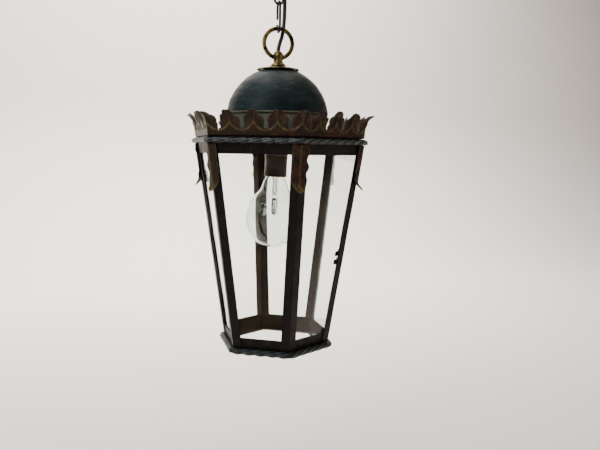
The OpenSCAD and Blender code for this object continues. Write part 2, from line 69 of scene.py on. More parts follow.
def addCamera():
    azimuth, turn = math.radians(view["azimuth"]), math.radians(view["turn"])
    pitch, roll = math.radians(view["pitch"]), math.radians(view["roll"])
    heading = math.pi / 2 - turn - azimuth
    forward = Vector((math.cos(heading), math.sin(heading), math.tan(pitch))).normalized()
    level = Vector((math.sin(heading), -math.cos(heading), 0))
    upright = level.cross(forward)
    right = math.cos(roll) * level + math.sin(roll) * upright
    up = -math.sin(roll) * level + math.cos(roll) * upright
    data = bpy.data.cameras.new("camera")
    data.sensor_width = view["sensor"]
    data.lens = view["lens"]
    data.clip_start = view["nearest"]
    camera = bpy.data.objects.new("camera", data)
    place = Vector((-math.sin(azimuth), -math.cos(azimuth), 0)) * view["distance"]
    place.z = view["height"]
    camera.matrix_world = Matrix.Translation(place) @ Matrix((right, up, -forward)).transposed().to_4x4()
    bpy.context.scene.collection.objects.link(camera)
    bpy.context.scene.camera = camera


addCamera()
print("camera placed")


def srgb(code):
    parts = [int(code[n:n + 2], 16) / 255 for n in (1, 3, 5)]
    return (*[c / 12.92 if c <= 0.04045 else ((c + 0.055) / 1.055) ** 2.4 for c in parts], 1)


def perMetre(size):  # texture scale for a pattern whose repeat is size, in millimetres
    return 1000 / size


def addNode(tree, kind, values=None, links=None, **settings):
    node = tree.nodes.new(kind)
    for key, value in settings.items():
        setattr(node, key, value)
    for key, value in (values or {}).items():
        node.inputs[key].default_value = value
    for key, socket in (links or {}).items():
        tree.links.new(socket, node.inputs[key])
    return node


def startMaterial(name, shader):
    material = bpy.data.materials.new(name)
    material.use_nodes = True
    tree = material.node_tree
    body = tree.nodes["Principled BSDF"]
    for key, value in shader.items():
        body.inputs[key].default_value = value
    place = addNode(tree, "ShaderNodeTexCoord").outputs["Object"]
    return material, tree, body, place


# 0 to 1 in clouds about size millimetres wide, as the noise passes from low to high
def patch(tree, place, size, low, high, detail=4, distortion=0.0):
    cloud = addNode(
        tree, "ShaderNodeTexNoise", links={"Vector": place},
        values={"Scale": perMetre(size), "Detail": detail, "Roughness": 0.6, "Distortion": distortion})
    return addNode(
        tree, "ShaderNodeMapRange", links={"Value": cloud.outputs["Fac"]},
        values={"From Min": low, "From Max": high}).outputs["Result"]


# A share, broken up into clouds
def brokenUp(tree, share, cloud):
    return addNode(tree, "ShaderNodeMath", operation="MULTIPLY", links={0: share, 1: cloud}).outputs[0]


# Lays one plain colour over the rest, as far as share says
def paintOver(tree, colour, share, code):
    return addNode(
        tree, "ShaderNodeMix", data_type="RGBA", links={0: share, 6: colour},
        values={7: srgb(code)}).outputs[2]


# A worn metal: clouded colour, stains, rubbed edges and dust where it faces up, over grain and dents.
# Real grain is too fine to show at this distance, so it is drawn about a millimetre wide.
def wornMetal(name, look):
    material, tree, body, place = startMaterial(
        name, {"Metallic": look["metallic"], "Specular IOR Level": look.get("gloss", 0.5)})
    if "streak" in look:  # marks drawn out sideways, as spinning and wiping leave them
        stretch = {"Scale": (1, 1, look["streak"])}
        place = addNode(tree, "ShaderNodeMapping", links={"Vector": place}, values=stretch).outputs[0]
    ramp = addNode(
        tree, "ShaderNodeValToRGB", links={"Fac": patch(tree, place, look["cloud"], 0.3, 0.7)})
    ramp.color_ramp.elements.new(0.5)
    for mark, code in zip(ramp.color_ramp.elements, look["colours"]):
        mark.color = srgb(code)
    colour = ramp.outputs["Color"]
    for stain, size, low, high in look.get("stains", ()):
        colour = paintOver(tree, colour, patch(tree, place, size, low, high, 6, 0.4), stain)
    if "sideSheen" in look:  # another colour that takes over along X, between two places in millimetres: painted sheen on the side the light falls on
        tint, start, end = look["sideSheen"]
        across = addNode(tree, "ShaderNodeSeparateXYZ", links={0: place}).outputs["X"]
        share = addNode(
            tree, "ShaderNodeMapRange", interpolation_type="SMOOTHSTEP", links={"Value": across},
            values={"From Min": start * 0.001, "From Max": end * 0.001}).outputs["Result"]
        colour = paintOver(
            tree, colour, brokenUp(tree, share, patch(tree, place, 12, 0.25, 0.55)), tint)
    if "wearAndHighlight" in look:  # rubbed wear and painted highlight: another colour where the mesh's attribute for wear and highlight is high
        worn = addNode(tree, "ShaderNodeAttribute", attribute_name="wearAndHighlight").outputs["Fac"]
        colour = paintOver(
            tree, colour, brokenUp(tree, worn, patch(tree, place, 5, 0.28, 0.55)), look["wearAndHighlight"])
    if "dust" in look:
        normal = addNode(tree, "ShaderNodeNewGeometry").outputs["Normal"]
        upward = addNode(tree, "ShaderNodeSeparateXYZ", links={0: normal}).outputs["Z"]
        lying = addNode(
            tree, "ShaderNodeMapRange", links={"Value": upward},
            values={"From Min": 0.35, "From Max": 1.0, "To Max": look.get("dustShare", 0.5)})
        colour = paintOver(
            tree, colour, brokenUp(tree, lying.outputs["Result"], patch(tree, place, 9, 0.3, 0.6)),
            look["dust"])
    tree.links.new(colour, body.inputs["Base Color"])
    rough = addNode(
        tree, "ShaderNodeMapRange", links={"Value": patch(tree, place, look["cloud"] * 0.6, 0.25, 0.75, 6)},
        values={"To Min": look["rough"][0], "To Max": look["rough"][1]})
    tree.links.new(rough.outputs["Result"], body.inputs["Roughness"])
    grain = addNode(
        tree, "ShaderNodeTexNoise", links={"Vector": place},
        values={"Scale": perMetre(look["grain"]), "Detail": 5, "Roughness": 0.65})
    dents = addNode(
        tree, "ShaderNodeTexNoise", links={"Vector": place},
        values={"Scale": perMetre(look.get("dent", 14)), "Detail": 2})
    fine = addNode(
        tree, "ShaderNodeBump", links={"Height": grain.outputs["Fac"]},
        values={"Strength": 0.5, "Distance": look.get("grainDepth", 0.3) * 0.001})
    coarse = addNode(
        tree, "ShaderNodeBump", links={"Height": dents.outputs["Fac"], "Normal": fine.outputs["Normal"]},
        values={"Strength": 0.5, "Distance": look.get("dentDepth", 1.0) * 0.001})
    tree.links.new(coarse.outputs["Normal"], body.inputs["Normal"])
    return material


# Sheet iron of the frame: brushed with black paint that has gone brown, dull, with rust showing through
frameIron = wornMetal("sheet_iron_black_painted", {
    "metallic": 0.1, "colours": ("#090605", "#120c0a", "#1e1310"), "cloud": 26,
    "stains": (("#2c1810", 11, 0.56, 0.74), ("#060404", 7, 0.58, 0.72), ("#33291a", 19, 0.62, 0.8)),
    "wearAndHighlight": "#4a3a2e", "dust": "#4a443a", "dustShare": 0.35, "rough": (0.42, 0.64), "gloss": 0.2,
    "grain": 1.1, "grainDepth": 0.25, "dentDepth": 0.8,
})
# Wrought wire of the chain: oiled black steel, close grey gleams
chainIron = wornMetal("steel_wire_blackened", {
    "metallic": 0.8, "colours": ("#1b1c1f", "#2e3034", "#44474c"), "cloud": 9,
    "stains": (("#3c2a20", 5, 0.58, 0.7),),
    "rough": (0.3, 0.5), "grain": 0.6, "grainDepth": 0.12, "dentDepth": 0.3,
})
# Twisted bar round the frame: dark iron with green stains; the blue-grey on its raised edges, brightest
# where they face up, is a painted highlight
ropeIron = wornMetal("twisted_iron_painted_highlight", {
    "metallic": 0.2, "colours": ("#0b0c0c", "#141817", "#222927"), "cloud": 10,
    "stains": (("#2f3a35", 9, 0.58, 0.76), ("#2b1d17", 8, 0.54, 0.7)),
    "wearAndHighlight": "#82958d", "dust": "#4a564f", "dustShare": 0.3, "rough": (0.36, 0.58),
    "grain": 0.8, "grainDepth": 0.2, "dentDepth": 0.6,
})
# Twisted bar round the foot: darker green iron; the grey-green on its raised edges is a painted highlight
# as well
footRopeIron = wornMetal("twisted_iron_dark_green", {
    "metallic": 0.3, "colours": ("#0c0f0e", "#161d1b", "#25302d"), "cloud": 12,
    "stains": (("#2f3f3a", 6, 0.58, 0.74), ("#241813", 8, 0.58, 0.72)),
    "wearAndHighlight": "#46564f", "dust": "#3d4741", "dustShare": 0.4, "rough": (0.4, 0.62),
    "grain": 0.9, "grainDepth": 0.25, "dentDepth": 0.8,
})
# Spun steel dome under slate green paint: a soft broad gleam, rubbed and mottled
domePaint = wornMetal("spun_steel_slate_paint", {
    "metallic": 0.2, "colours": ("#131c1b", "#1d2a2a", "#293a3b"), "cloud": 44, "gloss": 0.16, "streak": 3,
    "stains": (("#33484d", 24, 0.55, 0.8), ("#1f1b13", 34, 0.52, 0.78), ("#0d1110", 9, 0.58, 0.72)),
    "dust": "#3a4644", "dustShare": 0.1, "rough": (0.4, 0.58), "grain": 1.6, "grainDepth": 0.3,
    "dent": 26, "dentDepth": 1.6,
})
# Spun collar: paler bare metal, dusty olive grey
drumMetal = wornMetal("spun_steel_dusty", {
    "metallic": 0.2, "colours": ("#55574a", "#6d6f60", "#858674"), "cloud": 18,
    "stains": (("#413e31", 9, 0.55, 0.7), ("#8f907e", 12, 0.6, 0.8)),
    "dust": "#96947f", "dustShare": 0.6, "rough": (0.5, 0.7), "grain": 1.0,
})
# Pressed leaves: thin iron gone red-brown; the olive on the raised lines is partly gilding left on them and
# partly painted highlight, and the olive towards the left side is painted sheen
leafRust = wornMetal("pressed_iron_rusted", {
    "metallic": 0.2, "colours": ("#150a06", "#2b130b", "#4a1d0f"), "cloud": 14,
    "stains": (("#3e3013", 24, 0.48, 0.66), ("#0e0705", 6, 0.55, 0.7), ("#5e2d14", 5, 0.6, 0.76)),
    "wearAndHighlight": "#80703a", "sideSheen": ("#2f2410", 10, -125), "rough": (0.4, 0.62), "gloss": 0.3,
    "grain": 0.9, "grainDepth": 0.25, "dentDepth": 0.8,
})
# Cast brass of the ring: yellow where hands have rubbed it, brown in between
castBrass = wornMetal("cast_brass_tarnished", {
    "metallic": 1.0, "colours": ("#3d3222", "#7c6c3a", "#a89a58"), "cloud": 11,
    "stains": (("#2e2520", 14, 0.47, 0.62), ("#6a4a36", 9, 0.6, 0.75)),
    "rough": (0.26, 0.48), "grain": 0.7, "grainDepth": 0.18, "dentDepth": 0.5,
})
# Pressed brass of the disc: the same brass, duller in the flutes
discBrass = wornMetal("pressed_brass_tarnished", {
    "metallic": 1.0, "colours": ("#3a3020", "#73653a", "#a39450"), "cloud": 6,
    "stains": (("#2a221a", 7, 0.48, 0.64),),
    "rough": (0.28, 0.5), "grain": 0.6, "grainDepth": 0.15, "dentDepth": 0.4,
})
# Turned brass of the tube and nuts: clean, even, fine lathe sheen
turnedBrass = wornMetal("brass_turned", {
    "metallic": 1.0, "colours": ("#8f7437", "#b59649", "#c9ad62"), "cloud": 12,
    "rough": (0.26, 0.4), "grain": 0.5, "grainDepth": 0.08, "dentDepth": 0.1,
})
# Lampholder case: brass tube dipped to a dark bronze
holderBronze = wornMetal("brass_tube_bronzed", {
    "metallic": 0.75, "colours": ("#241f1e", "#3a3230", "#54423a"), "cloud": 16,
    "stains": (("#6d4a36", 13, 0.6, 0.78), ("#1a1718", 7, 0.58, 0.7)),
    "rough": (0.3, 0.48), "grain": 0.8, "grainDepth": 0.12, "dentDepth": 0.4,
})
# Ring at the holder's mouth: coppery where the bronze has worn through
mouthCopper = wornMetal("copper_worn", {
    "metallic": 1.0, "colours": ("#5a3a28", "#8a5f42", "#b3855c"), "cloud": 7,
    "rough": (0.28, 0.45), "grain": 0.6, "grainDepth": 0.1, "dentDepth": 0.3,
})
# Bracket inside the ceiling cup: zinc-plated steel
bracketZinc = wornMetal("steel_zinc_plated", {
    "metallic": 1.0, "colours": ("#84888c", "#9a9ea2", "#aeb2b5"), "cloud": 8,
    "rough": (0.35, 0.5), "grain": 0.8, "grainDepth": 0.08, "dentDepth": 0.1,
})
# Bulb's screw cap: drawn nickel brass
capBrass = wornMetal("brass_drawn", {
    "metallic": 1.0, "colours": ("#8f8259", "#b3a06a", "#c8b985"), "cloud": 7,
    "rough": (0.24, 0.36), "grain": 0.5, "grainDepth": 0.06, "dentDepth": 0.1,
})
# Fired porcelain: white glaze, faint cream clouding, a wet gleam
porcelain = wornMetal("porcelain_glazed", {
    "metallic": 0.0, "colours": ("#dcd4c2", "#e6e0d2", "#efeae0"), "cloud": 20,
    "rough": (0.14, 0.24), "grain": 1.2, "grainDepth": 0.05, "dentDepth": 0.15,
})
# Flex: round brown PVC sheath, slightly waxy
flexPvc = wornMetal("pvc_sheath_brown", {
    "metallic": 0.0, "colours": ("#261a1c", "#33262a", "#41302f"), "cloud": 12,
    "rough": (0.36, 0.5), "grain": 1.5, "grainDepth": 0.08, "dentDepth": 0.2,
})
# Bush in the ceiling cup: moulded black rubber, matt
bushRubber = wornMetal("rubber_moulded", {
    "metallic": 0.0, "colours": ("#171412", "#241f1d", "#2e2927"), "cloud": 10,
    "rough": (0.6, 0.75), "grain": 0.9, "grainDepth": 0.08, "dentDepth": 0.1,
})
print("metals made")


# Drawn window glass: clear, faintly green, with a slight ripple and a film caught in patches; its
# reflections are dimmed and given a painted warm brown tint for the warm room around it
def windowGlass():
    material, tree, body, place = startMaterial("window_glass_drawn", {
        "Base Color": srgb("#f7fbf8"), "Metallic": 0, "IOR": 1.5, "Transmission Weight": 1.0,
        "Specular Tint": srgb("#86705a")})
    film = addNode(
        tree, "ShaderNodeMapRange", links={"Value": patch(tree, place, 30, 0.55, 0.8, 8, 0.6)},
        values={"To Max": 0.03})
    tree.links.new(film.outputs["Result"], body.inputs["Roughness"])
    ripple = addNode(
        tree, "ShaderNodeTexNoise", links={"Vector": place}, values={"Scale": perMetre(45), "Detail": 1})
    soft = addNode(
        tree, "ShaderNodeBump", links={"Height": ripple.outputs["Fac"]},
        values={"Strength": 0.3, "Distance": 0.001})
    tree.links.new(soft.outputs["Normal"], body.inputs["Normal"])
    return material


# Blown soda glass of the bulb: clear and thin, with a smooth bright rim
def blownGlass():
    material, tree, body, place = startMaterial("soda_glass_blown", {
        "Base Color": srgb("#f7faf8"), "Metallic": 0, "IOR": 1.5, "Transmission Weight": 1.0})
    film = addNode(
        tree, "ShaderNodeMapRange", links={"Value": patch(tree, place, 25, 0.5, 0.8)},
        values={"To Max": 0.05})
    tree.links.new(film.outputs["Result"], body.inputs["Roughness"])
    return material


# Lead wires and filament in the bulb: drawn nickel, dark grey
leadNickel = wornMetal("nickel_wire_drawn", {
    "metallic": 1.0, "colours": ("#4c4a48", "#6d6b68", "#8a8884"), "cloud": 4,
    "rough": (0.3, 0.45), "grain": 0.5, "grainDepth": 0.03, "dentDepth": 0.05,
})
paneGlass = windowGlass()
bulbGlass = blownGlass()
print("glass made")


def addPiece(bm, name, material, body, replaced=(), place=None, angle=38, merge=0.01):
    if merge:
        bmesh.ops.remove_doubles(bm, verts=bm.verts, dist=merge)
    bmesh.ops.recalc_face_normals(bm, faces=bm.faces)
    bm.transform(toRoom @ (place or Matrix()))
    mesh = bpy.data.meshes.new(name)
    bm.to_mesh(mesh)
    bm.free()
    mesh.polygons.foreach_set("use_smooth", [True] * len(mesh.polygons))
    mesh.set_sharp_from_angle(angle=math.radians(angle))
    mesh.materials.append(material)
    piece = bpy.data.objects.new(name, mesh)
    bpy.context.scene.collection.objects.link(piece)
    if body:
        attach(piece, body)
    if replaced:
        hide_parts(*replaced)
    return piece


def addModifier(piece, kind, **settings):
    modifier = piece.modifiers.new(kind.lower(), kind)
    for key, value in settings.items():
        setattr(modifier, key, value)
    return modifier


def between(table, where):  # value of a table of (place, value) rows at where
    for (a, low), (b, high) in zip(table, table[1:]):
        if where <= b:
            return low + (high - low) * max(0, (where - a) / (b - a))
    return table[-1][1]


def ease(low, high, where):
    t = min(1, max(0, (where - low) / (high - low)))
    return t * t * (3 - 2 * t)


# Pulls a ring of edges through the places, one after another
def sweep(bm, edges, places, closed=False, caps=True):
    first = list(edges)
    for here, there in zip(places, places[1:]):
        made = bmesh.ops.extrude_edge_only(bm, edges=edges)["geom"]
        verts = [part for part in made if isinstance(part, bmesh.types.BMVert)]
        fresh = set(verts)
        edges = [part for part in made if isinstance(part, bmesh.types.BMEdge) and set(part.verts) <= fresh]
        bmesh.ops.transform(bm, matrix=there @ here.inverted(), verts=verts)
    if closed:
        bmesh.ops.bridge_loops(bm, edges=first + edges)
    elif caps:
        bmesh.ops.contextual_create(bm, geom=first)
        bmesh.ops.contextual_create(bm, geom=edges)


# A bar that follows the points: section is a function of the corner's angle that gives its radius
def sweptBar(points, sides, section, closed=False, twist=0.0):
    bm = bmesh.new()
    count = len(points)
    made = bmesh.ops.create_circle(bm, segments=sides, radius=1)["verts"]
    for vert in made:
        vert.co *= section(math.atan2(vert.co.y, vert.co.x))
    places = []
    for n, point in enumerate(points):
        before = points[n - 1] if closed or n else point
        after = points[(n + 1) % count] if closed or n < count - 1 else point
        ahead = (after - before).normalized()
        side = ahead.cross(Vector((0, 0, 1)) if abs(ahead.z) < 0.9 else Vector((0, 1, 0))).normalized()
        turned = Matrix((side, ahead.cross(side), ahead)).transposed().to_4x4()
        places.append(Matrix.Translation(point) @ turned @ Matrix.Rotation(twist * n, 4, "Z"))
    bmesh.ops.transform(bm, matrix=places[0], verts=made)
    sweep(bm, list(bm.edges), places, closed)
    return bm


# Turns a profile of (radius, height) rows about the vertical axis
def spun(profile, steps, loop=True):
    bm = bmesh.new()
    verts = [bm.verts.new((r, 0, z)) for r, z in profile]
    pairs = list(zip(verts, verts[1:])) + ([(verts[-1], verts[0])] if loop else [])
    edges = [bm.edges.new(pair) for pair in pairs]
    bmesh.ops.spin(
        bm, geom=verts + edges, axis=(0, 0, 1), cent=(0, 0, 0), angle=2 * math.pi, steps=steps,
        use_merge=True)
    bmesh.ops.remove_doubles(bm, verts=bm.verts, dist=0.001)
    return bm


def smoothLine(rows, steps):  # a Catmull-Rom line through the rows
    rows = [Vector(row) for row in rows]
    line = []
    for n in range(len(rows) - 1):
        a, b = rows[max(n - 1, 0)], rows[n]
        c, d = rows[n + 1], rows[min(n + 2, len(rows) - 1)]
        for step in range(steps):
            t = step / steps
            bowed = (2 * a - 5 * b + 4 * c - d) * t * t + (3 * b - a - 3 * c + d) * t ** 3
            line.append(0.5 * (2 * b + (c - a) * t + bowed))
    return line + [rows[-1]]


# The flex: round three-core cable, up from the finial, behind the ring, beside the chain, into the cup
flex = {
    "radius": 3.2,
    "sides": 14,
    "route": [
        (0, 0, 147), (1, 1, 153), (4, 3.5, 162), (7, 5.5, 170), (9, 7, 178), (10.5, 7.5, 187),
        (11.5, 8, 198), (12, 8, 212), (12, 8, 226), (12.6, 8.5, 240), (13.5, 8.9, 252), (14, 9, 262),
        (14, 9, 272), (14, 9, 281),
    ],
    "steps": 3,
    # name, first and last point, two bodies, and the heights between which it changes over
    "stretches": [
        ("flex_lower", 0, 18, ("lantern", "hook_link"), (162, 194)),
        ("flex_middle", 18, 27, ("hook_link", "chain_link"), (204, 234)),
        ("flex_upper", 27, 39, ("chain_link", "ceiling_fitting"), (240, 268)),
    ],
}


def flexPieces():
    line = smoothLine(flex["route"], flex["steps"])
    for name, start, end, bodies, (low, high) in flex["stretches"]:
        part = line[start:end + 1]
        bm = sweptBar(part, flex["sides"], lambda angle: flex["radius"])
        piece = addPiece(bm, name, flexPvc, None, merge=0, angle=60)
        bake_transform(piece)
        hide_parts("flex")


flexPieces()
print("flex hung")


def atCorner(k):
    return Matrix.Rotation(math.radians(-90 + 60 * (k - 1)), 4, "Z")


def atSide(k):
    return Matrix.Rotation(math.radians(-60 + 60 * (k - 1)), 4, "Z")


sideRatio = math.cos(math.radians(30))
frameSize = {"top": 145.0, "foot": 91.0, "height": 342.0}
taper = (frameSize["top"] - frameSize["foot"]) / frameSize["height"]
deck = {"top": 5.4, "radius": 146.5}


# Twisted bars round the frame's top and foot, bent round each corner
ropes = {
    "top_twist": {"height": 0, "corner": 148.8, "wire": 4.0, "bend": 5, "flat": 0.75,
                  "material": ropeIron, "node": "top_rope"},
    "foot_twist": {"height": -336, "corner": 96.1, "wire": 5.2, "bend": 9, "flat": 0.76,
                   "material": footRopeIron, "node": "bottom_rope"},
}
twistedBar = {
    "quarter": 19,  # length of a quarter turn
    "step": 2.4,
    "sides": 24,
    "bendSteps": 4,
    "waver": 0.35,
}


def hexagonLine(corner, height, bend, step):
    points = []
    for k in range(1, 7):
        middle = atCorner(k) @ Vector((corner - bend / sideRatio, 0, height))
        for n in range(twistedBar["bendSteps"] + 1):
            turn = Matrix.Rotation(math.radians(-30 + 60 * n / twistedBar["bendSteps"]), 4, "Z")
            points.append(middle + atCorner(k) @ turn @ Vector((bend, 0, 0)))
        after = atCorner(k + 1) @ Vector((corner - bend / sideRatio, 0, height))
        after += atCorner(k + 1) @ Matrix.Rotation(math.radians(-30), 4, "Z") @ Vector((bend, 0, 0))
        here = points[-1]
        count = round((after - here).length / step)
        points += [here.lerp(after, n / count) for n in range(1, count)]
    return points


def ropePiece(name, rope):
    points = hexagonLine(rope["corner"], rope["height"], rope["bend"], twistedBar["step"])
    around = sum((b - a).length for a, b in zip(points, points[1:] + points[:1]))
    quarters = round(around / twistedBar["quarter"])
    sides = twistedBar["sides"]

    def section(angle):  # a square bar with rounded corners
        square = rope["flat"] / max(abs(math.cos(angle)), abs(math.sin(angle)))
        return rope["wire"] * min(1, square)

    bm = sweptBar(points, sides, section, True, -quarters * math.pi / 2 / len(points))
    bm.normal_update()
    wearAndHighlight = bm.verts.layers.float.new("wearAndHighlight")
    # Painted highlight: the bar's corners get the lighter colour, more where they face up towards the light
    for n, vert in enumerate(bm.verts):
        edge = math.sin(math.pi * (n % sides) / (sides / 4)) ** 2
        vert[wearAndHighlight] = 0.75 * ease(0.3, 1, edge) * ease(-0.7, 0.7, vert.normal.z)
    shift = Vector((random.Random(quarters).uniform(0, 50), 0, 0))
    for vert in bm.verts:
        vert.co += twistedBar["waver"] * noise.noise_vector(vert.co / 14 + shift)
    addPiece(bm, name, rope["material"], "lantern", [rope["node"]], angle=50, merge=0)


for ropeName, ropeLook in ropes.items():
    ropePiece(ropeName, ropeLook)
print("twisted bars bent")


# Gallery: leaves cut in one strip along each side, the one at each corner folded round it
gallery = {
    "leaves": 4,  # along a side, counting the two half leaves as one
    "thickness": 0.8,
    "height": 42.5,
    "lean": 54.0,  # at the tips
    "cornerLean": 64.0,
    "footLean": 5.0,
    "footWidth": 14.0,  # of the strip turned in under the leaves
    # half width of the gap between two leaves, by height
    "gap": [(12, 0), (12.4, 1.6), (13.3, 2.6), (15, 3.3), (17.5, 3.3), (21, 2.6), (24, 1.8), (26.5, 1.8),
            (27.6, 3.0), (28.8, 2.4), (30.1, 2.9), (30.9, 4.6), (31.8, 4.4), (32.8, 5.4), (33.3, 8.0)],
    "rows": [0, 3, 6, 9, 11, 12, 12.4, 13.3, 15, 17.5, 19.3, 21, 22.5, 24, 26.5, 27.6, 28.8, 30.1, 30.9,
             31.8, 32.8, 33.3],
    # half width of the middle lobe, by its share of the way up from the shoulder
    "lobe": [(0, 9.6), (0.1, 9.9), (0.25, 9.8), (0.45, 8.9), (0.65, 7.2), (0.82, 4.9), (0.94, 2.5),
             (1, 0.5)],
    "columns": 10,  # across half a leaf
    "shoulder": 33.4,
    "arcRadius": 19.5,
    "arcCentre": 29.4,
    "arcWidth": 1.05,
    "arcHeight": 1.5,
    "ribHeight": 0.7,
    "hollowDepth": 1.1,
    "lobeHeight": 0.9,
}


def galleryLeaf(index):
    chance = random.Random(400 + index)
    corner = index % gallery["leaves"] == 0
    return {
        "corner": corner,
        "height": gallery["height"] + chance.uniform(-1.3, 1.6),
        "lean": (gallery["cornerLean"] if corner else gallery["lean"]) + chance.uniform(-9, 8),
        "twist": 0 if corner else chance.uniform(-0.18, 0.18),
        "cup": chance.uniform(-0.012, 0.02),
        "lift": chance.uniform(0.6, 1.4),
    }


def leafLean(leaf, y):
    foot = gallery["footLean"]
    return math.radians(foot + (leaf["lean"] - foot) * ease(17, 43, y))


# Where a point y up a leaf goes: distance out from the strip, height, and lean
def leafRise(leaf, y):
    out, up, steps = 0.0, 0.0, 24
    for n in range(steps):
        at = y * (n + 0.5) / steps
        lean = leafLean(leaf, at)
        out += math.sin(lean) * y / steps
        up += math.cos(lean) * y / steps
    return out, up, leafLean(leaf, y)


# Raised line that loops under each gap, from one leaf's midrib to the next
def leafArc(x, y):
    across = abs(x) - deck["radius"] / gallery["leaves"] / 2
    ring = math.hypot(across, y - gallery["arcCentre"]) - gallery["arcRadius"]
    low = ease(gallery["arcCentre"] + 6, gallery["arcCentre"] - 2, y)
    return math.exp(-(ring / gallery["arcWidth"]) ** 2) * low


# How far the pressing lifts the leaf: loop, midrib, hollow beside it, and side lobe
def leafEmboss(leaf, x, y):
    arc = gallery["arcHeight"] * leafArc(x, y)
    rib = gallery["ribHeight"] * math.exp(-(x / 0.9) ** 2) * ease(19, 24, y)
    hollow = -gallery["hollowDepth"] * math.exp(-((abs(x) - 5) / 3.2) ** 2) * ease(21, 30, y)
    lobe = gallery["lobeHeight"] * math.exp(-((abs(x) - 12) / 3) ** 2) * ease(20, 28, y)
    wave = leaf["twist"] * x * ease(14, 30, y) + leaf["cup"] * x * x * ease(20, 40, y)
    return arc + (rib + hollow + lobe) * leaf["lift"] + wave


def galleryStrip(k):
    bm = bmesh.new()
    wearAndHighlight = bm.verts.layers.float.new("wearAndHighlight")
    count, shoulder = gallery["leaves"], gallery["shoulder"]
    for n in range(count + 1):
        leaf = galleryLeaf(((k - 1) * count + n) % (6 * count))
        left, right = (-1 if n else 0), (1 if n < count else 0)
        tall = leaf["height"] - shoulder
        rows = gallery["rows"] + [shoulder + share * tall for share, _ in gallery["lobe"]]
        columns = gallery["columns"] * (right - left)
        made = bmesh.ops.create_grid(
            bm, x_segments=columns, y_segments=len(rows) - 1, size=0.5)["verts"]
        for vert in made:
            u = left + (right - left) * (vert.co.x + 0.5)
            y = rows[round((vert.co.y + 0.5) * (len(rows) - 1))]
            out, up, lean = leafRise(leaf, y)
            reach = deck["radius"] * sideRatio - 1 + out
            if y <= shoulder - 0.1:
                half = reach / sideRatio / count / 2 - between(gallery["gap"], y)
            else:
                half = between(gallery["lobe"], (y - shoulder) / tall)
            x = u * half
            push = leafEmboss(leaf, x, y)
            reach += push * math.cos(lean)
            along = reach / sideRatio * (n / count - 0.5) + x
            vert.co = (reach, along, deck["top"] + 0.1 + up - push * math.sin(lean))
            # Lighter colour on the loops, rims and tips: partly rubbed gilding, partly painted highlight
            rim = 0.175 * ease(0.86, 1, abs(u)) * ease(13, 16, y)
            tip = 0.3 * ease(0.8, 1, (y - shoulder) / tall)
            vert[wearAndHighlight] = min(1, 0.7 * leafArc(x, y) + rim + tip)
    bmesh.ops.remove_doubles(bm, verts=bm.verts, dist=0.02)
    foot = [edge for edge in bm.edges if all(vert.co.z < deck["top"] + 0.2 for vert in edge.verts)]
    made = bmesh.ops.extrude_edge_only(bm, edges=foot)["geom"]
    for vert in made:
        if isinstance(vert, bmesh.types.BMVert):
            inside = vert.co.x - gallery["footWidth"]
            vert.co.y *= inside / vert.co.x
            vert.co.x = inside
    piece = addPiece(
        bm, f"gallery_leaves_{k}", leafRust, "lantern", [f"gallery_{k}"], atSide(k), 60)
    addModifier(piece, "SOLIDIFY", thickness=gallery["thickness"] * 0.001, offset=-1)
    addModifier(piece, "SUBSURF", levels=1, render_levels=1)


for side in range(1, 7):
    galleryStrip(side)
print("gallery cut and bent")


# Leaves folded over the posts' heads, their tips curled away
dropLeaf = {
    "top": -4.4,
    "length": 74.0,
    "thickness": 0.8,
    # half width by share of the way down
    "outline": [(0, 12.8), (0.05, 13.6), (0.17, 14.8), (0.28, 14.0), (0.325, 11.8), (0.36, 12.2),
                (0.47, 15.0), (0.57, 14.0), (0.61, 11.4), (0.65, 11.9), (0.74, 13.8), (0.83, 12.4),
                (0.9, 9.8), (0.955, 6.4), (0.985, 3.4), (1, 1.0)],
    "rows": [0, 0.05, 0.11, 0.17, 0.23, 0.28, 0.325, 0.36, 0.42, 0.47, 0.52, 0.57, 0.61, 0.65, 0.7, 0.74,
             0.79, 0.83, 0.87, 0.9, 0.93, 0.955, 0.975, 0.985, 1],
    "columns": 24,
    "curl": 8.5,
    "openBend": 82,  # half the angle between its two sides at the tip
    "ruffle": 3.4,
    "keel": 1.3,
    "ridges": (5.2, 9.4),
    "ridgeHeight": 0.9,
    "veinHeight": 0.9,
    "dimple": 0.8,
}
postLean = math.atan(taper)
sideLean = math.atan(taper * sideRatio)
bendCosine = math.cos(math.radians(60)) * math.cos(sideLean) ** 2 + math.sin(sideLean) ** 2
halfBend = math.pi / 2 - math.acos(bendCosine) / 2


def alongPost(k, z):  # x out through the corner, z up the post's outer edge
    corner = frameSize["top"] + taper * z
    return atCorner(k) @ Matrix.Translation((corner, 0, z)) @ Matrix.Rotation(postLean, 4, "Y")


